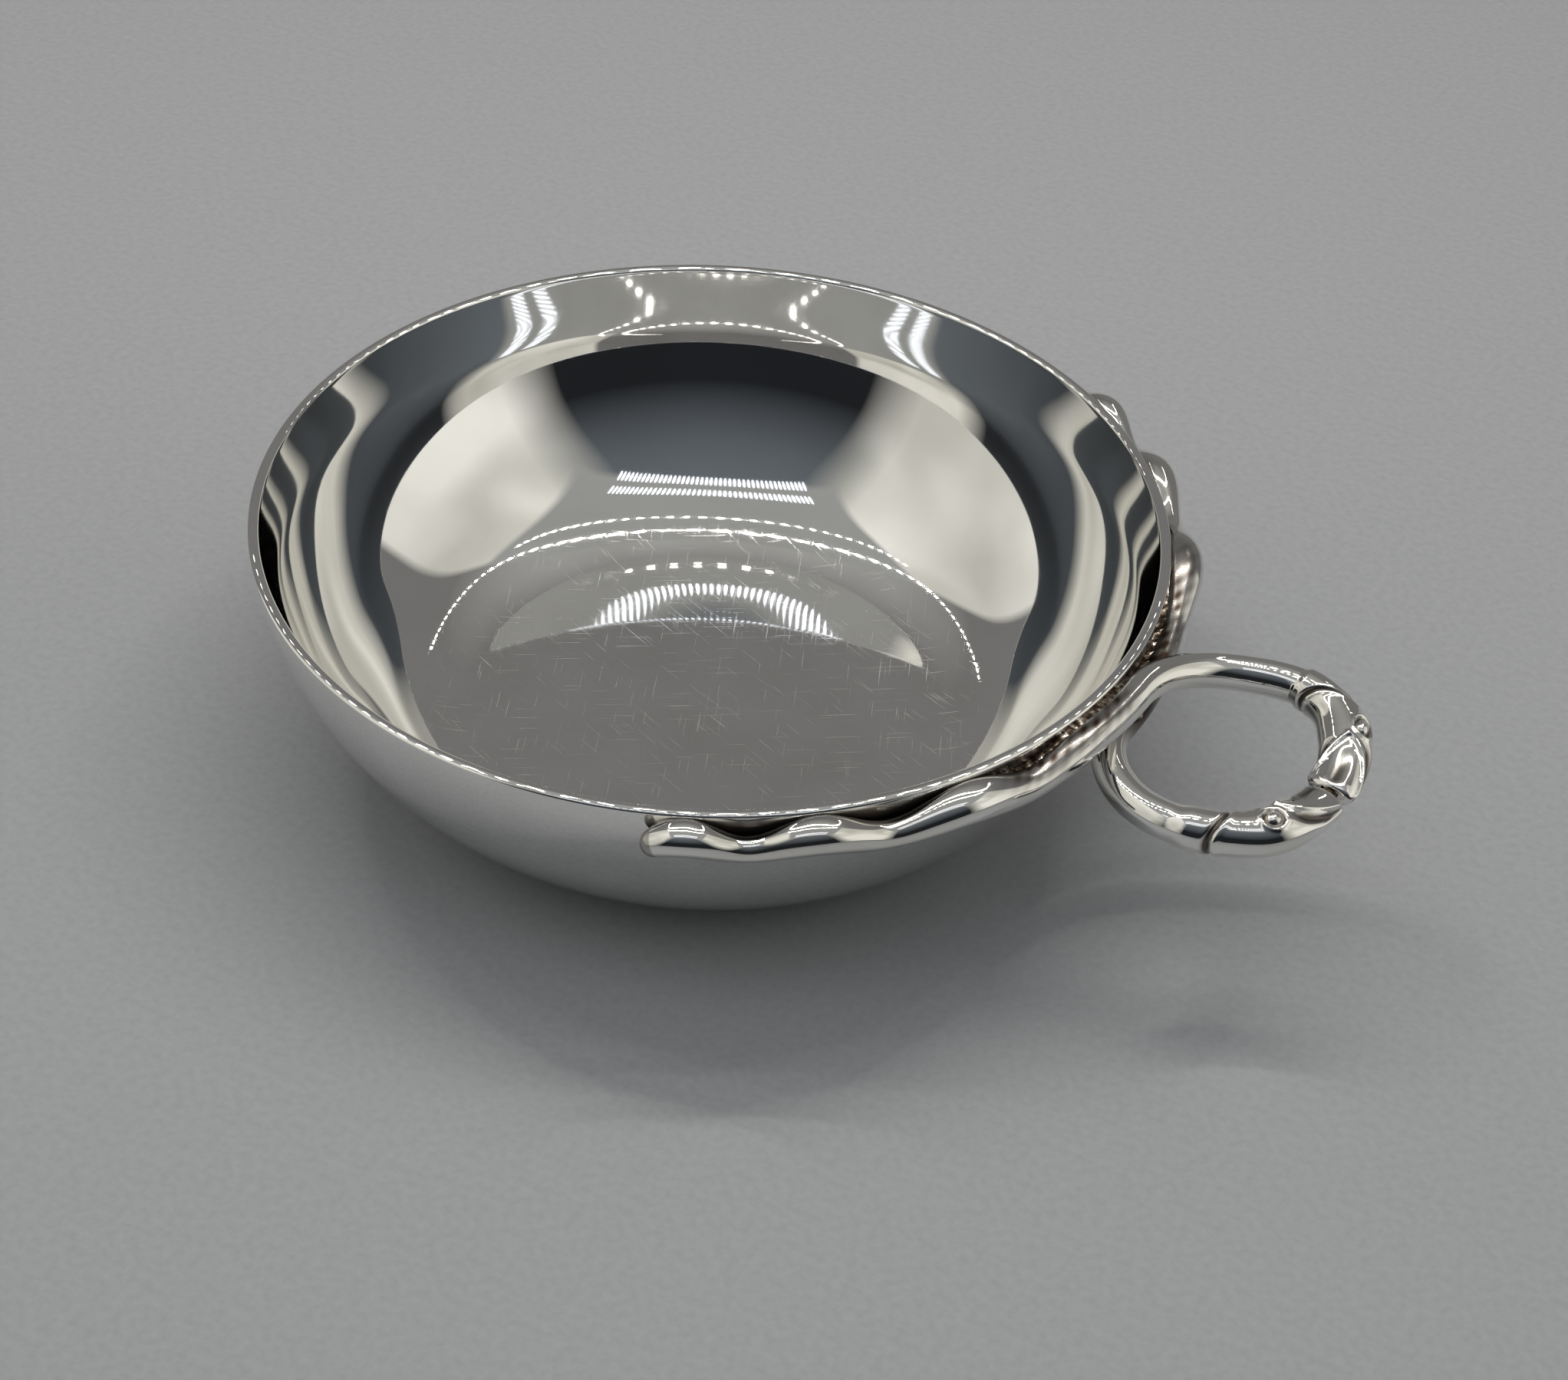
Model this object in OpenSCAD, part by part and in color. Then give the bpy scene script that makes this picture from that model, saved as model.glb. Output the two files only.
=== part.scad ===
// Tastevin: a shallow wine-tasting bowl of raised silver with a ring handle of two cast serpents.
// The tails wave along the wall under the rim, the bodies cross, and the heads meet to close the ring.
// Millimetres, +Z up, +X from the bowl's axis to the handle, origin under the middle of the base.

/* [Bowl] */
// Outside diameter at the rim
bowl_d = 82; // [70:1:100]
// Height from the resting face to the top of the rim
bowl_h = 24; // [20:0.5:34]
// Thickness of the raised wall
wall_t = 1.0; // [0.6:0.1:1.6]
// Diameter of the flat resting face
base_d = 42.4; // [32:0.2:46]
// Outside radius of the turn from the base into the wall
turn_r = 13.5; // [10:0.5:18]
// Slope in degrees at which the turn gives way to the wall's own curve
turn_slope = 40; // [32:1:46]
// Radius that softens the two edges of the rim
rim_r = 0.3; // [0.15:0.05:0.4]

/* [Serpent bodies] */
// Reach of the upper serpent's tail round the wall in degrees from the handle's axis
upper_reach = 65.5; // [50:0.5:80]
// Reach of the lower serpent's tail round the wall in degrees from the handle's axis
lower_reach = 61; // [50:0.5:80]
// Thickness of the body at the blunt tip of the tail
tip_d = 1.7; // [1.2:0.1:2.4]
// Thickness of the body where the two serpents cross
root_d = 2.9; // [2.4:0.1:3.8]
// Thickness of the neck behind the collar
neck_d = 3.8; // [3.2:0.1:4.6]
// Depth of the tail's waves from crest to valley
wave_depth = 1.5; // [0.6:0.1:2.4]
// Length of the first wave at the tip in degrees round the wall
wave_tip = 12.5; // [11:0.5:16]
// Growth of each wave over the one before it in degrees
wave_grow = 2.6; // [0.4:0.2:5]
// Drop from the rim to the top of each crest
crest_drop = 0.3; // [0.2:0.1:2]
// Gap that the solder fills between two pieces
solder_gap = 0.1; // [0.05:0.05:0.3]

/* [Ring] */
// Length of the ring's centre line along the handle
ring_l = 18.8; // [16:0.2:26]
// Width of the ring's centre line across the handle
ring_w = 19.8; // [16:0.2:26]
// Distance along the handle from the ring's middle to the widest point of each half
ring_skew = 1.5; // [0:0.1:2.5]
// Distance from the handle's axis to the middle of the ring
ring_off = 0.4; // [0:0.1:1.5]
// Drop from the rim to the middle of the two heads
ring_drop = 4.9; // [2.5:0.1:6]
// Rise of the upper serpent's half of the ring above the heads
upper_rise = 1.4; // [0:0.1:2]
// Sag of the lower serpent's half of the ring below the heads
lower_sag = 0.6; // [0:0.1:1.2]
// Half length in degrees of the stretch where one body lies over the other
cross_half = 1; // [1:0.5:5]
// Distance in degrees from the handle's axis to the middle of the crossing
cross_off = 2.5; // [0:0.5:4]
// Gap between the two snouts
jaw_gap = 0.6; // [0.4:0.1:1.2]
// Distance from the handle's axis to the place where the snouts meet
meet_off = 1; // [0:0.1:2]
// Distance by which the snouts draw in from the ring's curve
snout_in = 0.8; // [0:0.1:1.4]

/* [Heads] */
// Length of the head from the collar to the end of the snout
head_l = 11; // [9.6:0.2:13]
// Width of the head at the eyes
head_w = 4.6; // [4:0.1:5.6]
// Height of the head at the eyes
head_h = 3.9; // [3.4:0.1:5]
// Width of the snout
snout_w = 4.2; // [3.2:0.1:5]
// Height of the snout
snout_h = 2.5; // [2:0.1:3.4]
// Width of the groove that marks the collar
collar_w = 0.7; // [0.5:0.1:1.2]
// Depth of the groove that marks the collar
collar_deep = 0.3; // [0.1:0.05:0.5]
// Distance by which the collar slants forward on the head's left side
collar_slant = 1.1; // [0:0.1:1.6]
// Distance from the collar to the middle of the eye
eye_at = 4.2; // [3.6:0.1:5]
// Outside diameter of the raised ring of the eye
eye_d = 2.2; // [1.6:0.1:2.6]
// Height of the raised ring of the eye
eye_high = 0.4; // [0.2:0.05:0.6]
// Distance from the collar to the point of the brow ridges
brow_at = 5.4; // [5:0.1:6.4]
// Height of the brow ridges
brow_high = 0.4; // [0.2:0.05:0.6]
// Turn in degrees of the lower serpent's head towards the ring's hole
head_roll = 27; // [0:1:40]

/* [Solder] */
// Thickness of the solder seams
seam_d = 0.6; // [0.4:0.1:1]
// Half length in degrees of the seam in the last valley of each tail
seam_half = 5; // [3:0.5:7]

/* [Hidden] */
$fn = 96;
silver = [0.83, 0.83, 0.81];
cast_silver = [0.78, 0.78, 0.76];
solder_silver = [0.62, 0.58, 0.5];
body_sides = 24;
seam_sides = 8;
tail_rings = 60;
bend_rings = 12;
neck_step = 1.1;
head_step = 0.32;
seam_rings = 18;

// Bowl profile: a flat base, a turn, and a wall arc that starts along the turn and ends at the rim.
rim_e = min(rim_r, 0.45 * wall_t);
rim_top = bowl_h;
wall_top = [bowl_d / 2, bowl_h - rim_e];
turn_c = [base_d / 2, turn_r];
turn_n = [sin(turn_slope), -cos(turn_slope)];
turn_end = turn_c + turn_r * turn_n;
wall_run = wall_top - turn_end;
wall_r = (wall_run * wall_run) / (-2 * (wall_run * turn_n));
wall_c = turn_end - wall_r * turn_n;

// Radius at which a round bar of radius b lies against the wall at height z.
function bar_r(b, z) =
    let (reach = wall_r + solder_gap + b)
    wall_c[0] + sqrt(reach * reach - pow(z - wall_c[1], 2));

function mix(a, b, t) = a + (b - a) * t;
function ease(t) = t <= 0 ? 0 : t >= 1 ? 1 : t * t * (3 - 2 * t);
function bump(d, w) = exp(-pow(d / w, 2));

// Each serpent: reach of the tail, side of the crossing, height at the crossing, place of the snout,
// place of the widest point of its half ring, half width and height of that half, hand of the collar's slant.
over_z = rim_top - crest_drop - root_d / 2;
under_z = over_z - root_d - solder_gap;
ring_z = rim_top - ring_drop;
upper = [upper_reach, cross_off, over_z, -meet_off, ring_skew, ring_w / 2 - ring_off,
    ring_z + upper_rise, 1];
lower = [lower_reach, -cross_off, under_z, meet_off, -ring_skew, ring_w / 2 + ring_off,
    ring_z - lower_sag, -1];

// Waves of the tail, counted from the tip: each is longer than the one before.
wave_rate = wave_grow / wave_tip;
function waves(d) = ln(1 + wave_rate * d / wave_tip) / wave_rate - 0.25;
function wave_run(n) = (exp((n + 0.25) * wave_rate) - 1) * wave_tip / wave_rate;
function last_valley(s) = s[0] - wave_run(floor(waves(s[0] - root_clear) - 0.5) + 0.5);
root_clear = 12;

// Body radius along the tail, al degrees from the handle's axis.
function tail_b(al, s) = mix(root_d, tip_d, ease(max(al, 0) / s[0])) / 2;

// Heights: waves under the rim, then one body over the other at the crossing.
blend_from = 24;
blend_to = 6;
function wave_z(al, s) =
    rim_top - crest_drop - tail_b(al, s) - wave_depth / 2 * (1 - cos(360 * waves(s[0] - al)));
function tail_z(al, s) =
    mix(wave_z(al, s), s[2], ease((blend_from - al) / (blend_from - blend_to - s[1])));
function tail_point(al, s) =
    let (z = tail_z(al, s), r = bar_r(tail_b(al, s), z))
    [r * cos(al), -r * sin(al), z];

// Ring: a quarter bend away from the wall, then an ellipse round to the snout.
ring_x0 = bar_r(root_d / 2, (over_z + under_z) / 2);
ring_xc = ring_x0 + ring_l / 2;
quarter = 0.5523;
function bezier(a, b, c, d, t) =
    pow(1 - t, 3) * a + 3 * t * pow(1 - t, 2) * b + 3 * t * t * (1 - t) * c + t * t * t * d;
function ring_point(be, s) = [ring_xc + s[4] + (ring_l / 2 - s[4]) * cos(be), s[5] * sin(be)];
function snout_be(s) = asin((s[3] + jaw_gap / 2) / s[5]);
fall = 1.2;
neck_from = collar_slant + 2 * collar_w;
side_grow = 0.45;

// Path of one serpent with its tail on the -Y side: [point, half width, half height, run from the collar].
function tail_path(s) = [
    for (i = [0:tail_rings])
        let (al = mix(s[0], s[1] - cross_half, i / tail_rings), b = tail_b(al, s))
        [tail_point(al, s), b, b, -100]
];
function bend_path(s) =
    let (
        leave = s[1] - cross_half,
        a = tail_point(leave, s),
        d = [ring_xc + s[4], s[5]],
        a_xy = [a[0], a[1]],
        out = [sin(leave), cos(leave)],
        b = a_xy + quarter * (d[1] - a[1]) * out,
        c = d - [quarter * (d[0] - a[0]), 0]
    )
    [for (i = [1:bend_rings])
        let (t = i / bend_rings, p = bezier(a_xy, b, c, d, t), half = mix(root_d, neck_d, side_grow * t) / 2)
        [[p[0], p[1], mix(s[2], s[6], ease(t * fall))], half, half, -100]
    ];
function head_path(s) =
    let (
        be_end = snout_be(s),
        deg = 360 / PI / (ring_l / 2 - s[4] + s[5]),
        be_collar = be_end + head_l * deg,
        neck_n = ceil(max((90 - be_collar) / deg - neck_from, 0.1) / neck_step + 1),
        collar_n = 6,
        head_n = ceil(head_l / head_step)
    )
    concat(
        [for (i = [1:neck_n])
            let (t = i / neck_n, be = mix(90, be_collar + neck_from * deg, t), p = ring_point(be, s),
                half = mix(root_d, neck_d, side_grow + (1 - side_grow) * ease(t)) / 2)
            [[p[0], p[1], mix(s[6], ring_z, ease((90 - be) / 90))], half, half, mix(-100, -neck_from, t)]],
        [for (i = [1:collar_n - 1])
            let (run = neck_from * (i / collar_n - 1), be = be_collar - run * deg, p = ring_point(be, s))
            [[p[0], p[1], mix(s[6], ring_z, ease((90 - be) / 90))], neck_d / 2, neck_d / 2, run]],
        [for (i = [0:head_n])
            let (run = head_l * i / head_n, be = mix(be_collar, be_end, i / head_n), p = ring_point(be, s))
            [[p[0] - draw_in(run), p[1], mix(s[6], ring_z, ease((90 - be) / 90))],
                head_half_w(run), head_half_h(run), run]]
    );
function draw_in(run) = snout_in * ease(run / head_l);

// Outline of the head seen from above and from the side.
end_round = 0.9;
function blunt(run) = run < head_l - end_round ? 1 :
    0.62 + 0.38 * sqrt(1 - pow(1 - (head_l - run) / end_round, 2));
function head_half_w(run) = blunt(run) / 2 * (run < eye_at ? mix(neck_d, head_w, ease(run / eye_at)) :
    mix(head_w, snout_w, ease((run - eye_at) / (head_l - eye_at))));
function head_half_h(run) = blunt(run) / 2 * (run < eye_at ? mix(neck_d, head_h, ease(run / eye_at)) :
    mix(head_h, snout_h, ease((run - eye_at) / (head_l - eye_at))));

// Relief of the head, with 90 degrees on top and 180 on the ring's outside: collar groove, one ringed eye on
// the outside, brow ridges, hollow cheeks.
eye_up = 52;
brow_low = 14;
function relief(run, ang, hand) = run < -neck_from ? 0 :
    let (
        own = ang + (hand < 0 ? head_roll : 0),
        off_top = abs(own - 90),
        mid = head_w / 2 * PI / 180,
        eye_d0 = norm([run - eye_at, (off_top - (90 - eye_up)) * mid]),
        brow_t = (run - brow_at) / (head_l - end_round - brow_at),
        brow_off = mix(0, 90 - brow_low, pow(max(brow_t, 0), 0.8)),
        brow_on = ease((run - brow_at + 0.6) / 0.8) * ease((head_l - run) / end_round),
        top = own > -10 && own < 190
    )
    -collar_deep * bump(run + hand * collar_slant * cos(ang), collar_w / 2)
    + (top && own > 90 ? eye_high * (bump(eye_d0 - eye_d * 0.36, eye_d * 0.16) + 0.8 * bump(eye_d0, eye_d * 0.16)) : 0)
    + (top ? brow_on * brow_high * (bump((off_top - brow_off) * mid, 0.42)
        - 0.55 * bump((off_top - brow_off - 34) * mid, 0.7) * ease(brow_t * 3)
        - 0.4 * bump(off_top * mid, 0.7) * ease(brow_t * 2 - 0.6)) : 0);

// One closed skin swept along a path, with its height kept upright.
function unit(v) = v / norm(v);
function ring_of(path, i, hand) =
    let (
        n = len(path),
        dir = i == n - 1 ? [0, -1, 0] : unit(path[i + 1][0] - path[max(i - 1, 0)][0]),
        side = unit(cross(dir, [0, 0, 1])),
        up = cross(side, dir),
        st = path[i]
    )
    [for (j = [0:body_sides - 1])
        let (ang = 360 * j / body_sides, rise = relief(st[3], ang > 270 ? ang - 360 : ang, hand))
        st[0] + side * cos(ang) * (st[1] + rise) + up * sin(ang) * (st[2] + rise)];
module skin(rings) {
    m = len(rings[0]);
    n = len(rings);
    pts = [for (r = rings) for (p = r) p];
    sides = [for (i = [0:n - 2]) for (j = [0:m - 1])
        let (a = i * m + j, b = i * m + (j + 1) % m)
        each [[a, b, a + m], [b, b + m, a + m]]];
    ends = [[for (j = [m - 1:-1:0]) j], [for (j = [0:m - 1]) (n - 1) * m + j]];
    polyhedron(points = pts, faces = concat(sides, ends), convexity = 8);
}

// Blunt round tip: the first rings swell out along a quarter circle.
tip_rings = 4;
function with_tip(path) =
    let (p = path[0], dir = unit(path[0][0] - path[1][0]))
    concat(
        [for (k = [0:tip_rings - 1])
            let (a = 8 + 82 * k / tip_rings)
            [p[0] + dir * p[1] * cos(a), p[1] * sin(a), p[2] * sin(a), -100]],
        path);
function serpent_path(s) = with_tip(concat(tail_path(s), bend_path(s), head_path(s)));

module serpent(s) {
    path = serpent_path(s);
    skin([for (i = [0:len(path) - 1]) ring_of(path, i, s[7])]);
}

// Space enclosed by the bowl up to a height, a depth t inside its outer face. The turn starts a hair outside
// the wall's arc, so that the two arcs cross cleanly.
hair = 0.004;
lap = 1;
module turned(t, top) {
    low = turn_end[1] + t * cos(turn_slope);
    intersection() {
        union() {
            translate(turn_c + [hair, 0]) circle(turn_r - t);
            translate([-lap, t]) square([turn_c[0] + hair + lap, turn_r - t]);
        }
        translate([0, -lap]) square([bowl_d, low + 2 * lap]);
    }
    intersection() {
        union() {
            translate(wall_c) circle(wall_r - t);
            translate([-lap, low - lap]) square([turn_c[0] + lap, top - low + 2 * lap]);
        }
        translate([0, low]) square([bowl_d, top - low]);
    }
}

// Inner radius of the rim, and the middle of the round that softens its inner edge.
rim_in = wall_c[0] + sqrt(pow(wall_r - wall_t, 2) - pow(wall_top[1] - wall_c[1], 2));
rim_in_c = floor(1000 * (rim_in + 0.9 * rim_e)) / 1000;

module bowl() {
    color(silver)
    rotate_extrude()
    difference() {
        union() {
            turned(0, wall_top[1] - 0.1 * rim_e);
            translate([wall_top[0] - rim_e, wall_top[1]]) circle(rim_e);
            translate([rim_in_c, wall_top[1]]) circle(rim_e);
            translate([rim_in_c, wall_top[1] - rim_e]) square([wall_top[0] - rim_e - rim_in_c, 2 * rim_e]);
        }
        turned(wall_t, rim_top + lap);
    }
}

module upper_serpent() {
    color(cast_silver)
    serpent(upper);
}

module lower_serpent() {
    color(cast_silver)
    mirror([0, 1, 0])
    serpent(lower);
}

// A seam of solder along the upper groove between a tail and the wall.
seam_b = seam_d / 2;
function seam_point(al, s) =
    let (
        b = tail_b(al, s),
        z = tail_z(al, s),
        far = wall_r + solder_gap + b,
        near = wall_r + solder_gap + seam_b,
        apart = b + seam_b + solder_gap,
        turn = acos((far * far + near * near - apart * apart) / (2 * far * near)),
        at = asin((z - wall_c[1]) / far) + turn,
        r = wall_c[0] + near * cos(at)
    )
    [r * cos(al), -r * sin(al), wall_c[1] + near * sin(at)];
function bead(points, b) =
    let (n = len(points))
    [for (i = [0:n - 1])
        let (
            dir = unit(points[min(i + 1, n - 1)] - points[max(i - 1, 0)]),
            side = unit(cross(dir, [0, 0, 1])),
            up = cross(side, dir),
            fade = 0.45 + 0.55 * sqrt(max(0, 1 - pow(2 * i / (n - 1) - 1, 6)))
        )
        [for (j = [0:seam_sides - 1])
            let (ang = 360 * j / seam_sides)
            points[i] + b * fade * (side * cos(ang) + up * sin(ang))]];

module tail_solder(s) {
    mid = last_valley(s);
    skin(bead([for (i = [0:seam_rings]) seam_point(mid + seam_half * (1 - 2 * i / seam_rings), s)], seam_b));
}

module upper_tail_solder() {
    color(solder_silver)
    tail_solder(upper);
}

module lower_tail_solder() {
    color(solder_silver)
    mirror([0, 1, 0])
    tail_solder(lower);
}

// A bead of solder in the outer groove between the two crossing bodies.
function cross_point(al) =
    let (
        over = tail_point(al, upper),
        under_m = tail_point(-al, lower),
        under = [under_m[0], -under_m[1], under_m[2]],
        half = norm(over - under) / 2,
        axis = unit(over - under),
        out = unit(cross(axis, [-sin(al), -cos(al), 0])),
        reach = root_d / 2 + seam_b + solder_gap
    )
    (over + under) / 2 + out * sqrt(reach * reach - half * half);

module crossing_solder() {
    color(solder_silver)
    skin(bead([for (i = [0:6]) cross_point(cross_off + mix(cross_half, -cross_half, i / 6))], seam_b));
}

// The solder that closes the ring between the two snouts.
module jaw_solder() {
    y0 = -meet_off;
    pad = jaw_gap - 2 * solder_gap;
    x = ring_point(asin(y0 / upper[5]), upper)[0] - snout_in;
    color(solder_silver)
    translate([x, y0 + pad / 2, ring_z])
    rotate([90, 0, 0])
    cylinder(h = pad, d = snout_h * 0.6);
}

bowl();
upper_serpent();
lower_serpent();
upper_tail_solder();
lower_tail_solder();
crossing_solder();
jaw_solder();
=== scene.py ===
# %% [markdown]
# # A silver wine taster with a serpent ring handle
# A tastevin is the small shallow bowl in which wine is looked at and tasted in a dim cellar. This one is raised
# from a single sheet of silver, and its ring handle is two cast serpents: the tails wave under the rim, the
# bodies cross at the root, and the two heads meet snout to snout.
#
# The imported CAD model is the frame. Everything here is in metres in that frame: the origin is under the middle
# of the bowl, +Z is up, and +X runs out through the ring.

# %% Load the frame
import math

import bpy
import numpy as np
from mathutils import Matrix, Vector


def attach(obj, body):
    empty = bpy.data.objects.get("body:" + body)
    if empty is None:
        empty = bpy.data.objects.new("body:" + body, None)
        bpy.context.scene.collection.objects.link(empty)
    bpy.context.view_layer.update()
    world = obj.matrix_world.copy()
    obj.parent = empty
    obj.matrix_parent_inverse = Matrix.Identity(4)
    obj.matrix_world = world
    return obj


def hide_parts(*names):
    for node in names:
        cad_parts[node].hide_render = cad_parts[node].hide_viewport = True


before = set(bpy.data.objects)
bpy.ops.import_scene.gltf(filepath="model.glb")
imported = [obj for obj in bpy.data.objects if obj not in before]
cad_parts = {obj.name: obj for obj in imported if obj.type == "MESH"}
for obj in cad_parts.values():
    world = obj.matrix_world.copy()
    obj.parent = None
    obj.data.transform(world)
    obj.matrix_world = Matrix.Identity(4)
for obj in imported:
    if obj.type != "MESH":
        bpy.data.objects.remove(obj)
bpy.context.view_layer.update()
print("frame nodes:", sorted(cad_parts))

# %% [markdown]
# Sizes are easier to read in millimetres, so the shapes below are worked out in millimetres and turned to
# metres when the mesh is made. Four small helpers come up again and again: `mix` runs from one value to another,
# `ease` goes from 0 to 1 with a soft start and end, `hump` is a smooth bump that is used for every raised or
# sunk line of the casting, and `unit` gives a direction the length 1.

# %% Shaping helpers
MM = 0.001


def mix(a, b, t):
    return a + (b - a) * t


def ease(t):
    t = np.clip(t, 0.0, 1.0)
    return t * t * (3 - 2 * t)


def hump(d, width):
    return np.exp(-np.square(d / width))


def unit(v):
    return v / np.linalg.norm(v, axis=-1, keepdims=True)


print("helpers ready; 1 mm is", MM, "m")

# %% [markdown]
# ## Camera
# The photograph was taken from the near side of the bowl, with the handle on the right, looking down at about
# forty degrees. The lens follows from how the rim's ellipse narrows towards the back: a long view, 70 mm on a
# 36 mm wide frame, from about 29 cm away.

# %% Place the camera
VIEW_TURN, VIEW_DOWN, VIEW_ROLL = (math.radians(a) for a in (27.5, 39.612, -3.36))
VIEW_FROM = Vector((108.49, -192.54, 186.25)) * MM
SENSOR_MM, PHOTO_PX, FOCAL_PX = 36.0, 2044, 4000

level_right = Vector((math.cos(VIEW_TURN), math.sin(VIEW_TURN), 0))
level_back = Vector((-math.sin(VIEW_TURN), math.cos(VIEW_TURN), 0))
look = level_back * math.cos(VIEW_DOWN) - Vector((0, 0, 1)) * math.sin(VIEW_DOWN)
lifted = level_right.cross(look)
right = level_right * math.cos(VIEW_ROLL) - lifted * math.sin(VIEW_ROLL)
up = right.cross(look)
lens = bpy.data.cameras.new("photo_camera")
lens.sensor_width = SENSOR_MM
lens.lens = SENSOR_MM * FOCAL_PX / PHOTO_PX
lens.clip_start, lens.clip_end = 0.01, 20.0
camera = bpy.data.objects.new("photo_camera", lens)
camera.matrix_world = Matrix((right, up, -look)).transposed().to_4x4()
camera.location = VIEW_FROM
bpy.context.scene.collection.objects.link(camera)
bpy.context.scene.camera = camera
bpy.context.scene.view_settings.view_transform = "Standard"
print("camera looks along", [round(v, 3) for v in look], "with a", round(lens.lens, 1), "mm lens")

# %% [markdown]
# ## Nodes and colours
# Every material below is a small tree of shader nodes. One helper adds a node with its settings: an input gets a
# plain value, or is joined when it is given another node's socket, so that each line reads as one step of the
# finish. Colours are written as the sRGB hex values that a colour picker shows, and one function turns them into
# the linear numbers that the renderer works with.

# %% Helpers for materials
SHARE, FIRST, SECOND, MIXED = 0, 6, 7, 2  # sockets of a colour mix: its share, its two colours, its result


def linear(hex_colour):
    """An sRGB colour such as #C0C0C0 as linear red, green, blue and alpha."""
    parts = [int(hex_colour[i:i + 2], 16) / 255 for i in (1, 3, 5)]
    return (*[c / 12.92 if c <= 0.04045 else ((c + 0.055) / 1.055) ** 2.4 for c in parts], 1.0)


def add(tree, kind, inputs=None, stops=(), **settings):
    """A node with its settings, what goes into its inputs, and the stops of its colours if it is a ramp."""
    made = tree.nodes.new(kind)
    for name, value in settings.items():
        setattr(made, name, value)
    for name, value in (inputs or {}).items():
        if isinstance(value, bpy.types.NodeSocket):
            tree.links.new(value, made.inputs[name])
        else:
            made.inputs[name].default_value = value
    for k, (place, colour) in enumerate(stops):
        stop = made.color_ramp.elements[k] if k < 2 else made.color_ramp.elements.new(place)
        stop.position, stop.color = place, colour
    return made


def new_material(name):
    made = bpy.data.materials.new(name)
    made.use_nodes = True
    made.node_tree.nodes.clear()
    return made, made.node_tree


print("mid grey #808080 is", round(linear("#808080")[0], 3), "in linear light")

# %% [markdown]
# ## Studio
# Polished silver has hardly any look of its own: what we see is the room. The studio is a small square light
# tent: white cloth on both sides, a grey back and ceiling, and a dark open front where the camera stands. It is
# painted by direction in the world shader, so no wall gets in the way when the camera moves to another side.
# A direction meets the tent's front, its side, its back or its ceiling, whichever it reaches first. Dividing each
# part of the direction by the distance of that wall tells which: the largest share is the nearest wall.

# %% Light tent
TENT_LEFT, TENT_RIGHT, TENT_FRONT, TENT_BACK, TENT_TOP = 228.0, 285.0, 215.0, 130.0, 380.0
SIDE_SOFT, BACK_SOFT, TOP_SOFT = 0.0008, 0.0002, 0.0001
CEILING, BACK_LOW, BACK_HIGH = linear("#9C9D9B"), linear("#767574"), linear("#A2A29F")
OPENING_LOW, OPENING_HIGH = linear("#1F2124"), linear("#666C72")
CLOTH_SHADE, CLOTH_LIT = linear("#C6C5BC"), linear("#F2F0E8")

world = bpy.data.worlds.new("light_tent")
bpy.context.scene.world = world
world.use_nodes = True
tent = world.node_tree
tent.nodes.clear()
way = add(tent, "ShaderNodeTexCoord").outputs["Generated"]
way = add(tent, "ShaderNodeMapping", {"Vector": way, "Rotation": (0, 0, -VIEW_TURN)}).outputs["Vector"]
axis = add(tent, "ShaderNodeSeparateXYZ", {"Vector": way}).outputs
near = {}
for wall, along, far in (("left", "X", -TENT_LEFT), ("right", "X", TENT_RIGHT), ("front", "Y", -TENT_FRONT),
                         ("back", "Y", TENT_BACK), ("top", "Z", TENT_TOP)):
    near[wall] = add(tent, "ShaderNodeMath", {0: axis[along], 1: far}, operation="DIVIDE").outputs["Value"]
sides = add(tent, "ShaderNodeMath", {0: near["right"], 1: near["left"]}, operation="MAXIMUM")
near["side"] = sides.outputs["Value"]
print("tent", TENT_LEFT + TENT_RIGHT, "mm wide and", TENT_TOP, "mm high")

# %% [markdown]
# The cloth hangs in soft folds, and the back and the opening are darker low down than high up. The height of a
# direction is the sine of its angle, so 0.66 is about forty degrees up. The walls are then laid over each other:
# each one shows where it is nearer than those before it, with a slightly soft edge.

# %% Walls of the tent
folds = add(tent, "ShaderNodeTexNoise", {"Vector": way, "Scale": 1.6, "Detail": 1.0, "Distortion": 0.5})
cloth = add(tent, "ShaderNodeValToRGB", {"Fac": folds.outputs["Fac"]}, ((0.33, CLOTH_SHADE), (0.68, CLOTH_LIT)))
back_sheet = add(tent, "ShaderNodeValToRGB", {"Fac": axis["Z"]}, ((0.66, BACK_LOW), (0.92, BACK_HIGH)))
opening = add(tent, "ShaderNodeValToRGB", {"Fac": axis["Z"]}, ((0.36, OPENING_LOW), (0.85, OPENING_HIGH)))
inside, nearest = opening.outputs["Color"], near["front"]
for wall, soft, colour in (("side", SIDE_SOFT, cloth.outputs["Color"]),
                           ("back", BACK_SOFT, back_sheet.outputs["Color"]), ("top", TOP_SOFT, CEILING)):
    lead = add(tent, "ShaderNodeMath", {0: near[wall], 1: nearest}, operation="SUBTRACT")
    share = add(tent, "ShaderNodeMapRange", {"Value": lead.outputs["Value"], "From Min": -soft, "From Max": soft})
    shown = add(tent, "ShaderNodeMix", {SHARE: share.outputs["Result"], FIRST: inside, SECOND: colour},
                data_type="RGBA")
    both = add(tent, "ShaderNodeMath", {0: nearest, 1: near[wall]}, operation="MAXIMUM")
    inside, nearest = shown.outputs[MIXED], both.outputs["Value"]
sky = add(tent, "ShaderNodeBackground", {"Color": inside, "Strength": 1.0})
add(tent, "ShaderNodeOutputWorld", {"Surface": sky.outputs["Background"]})
print("walls of the tent:", len(tent.nodes), "nodes")

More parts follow.
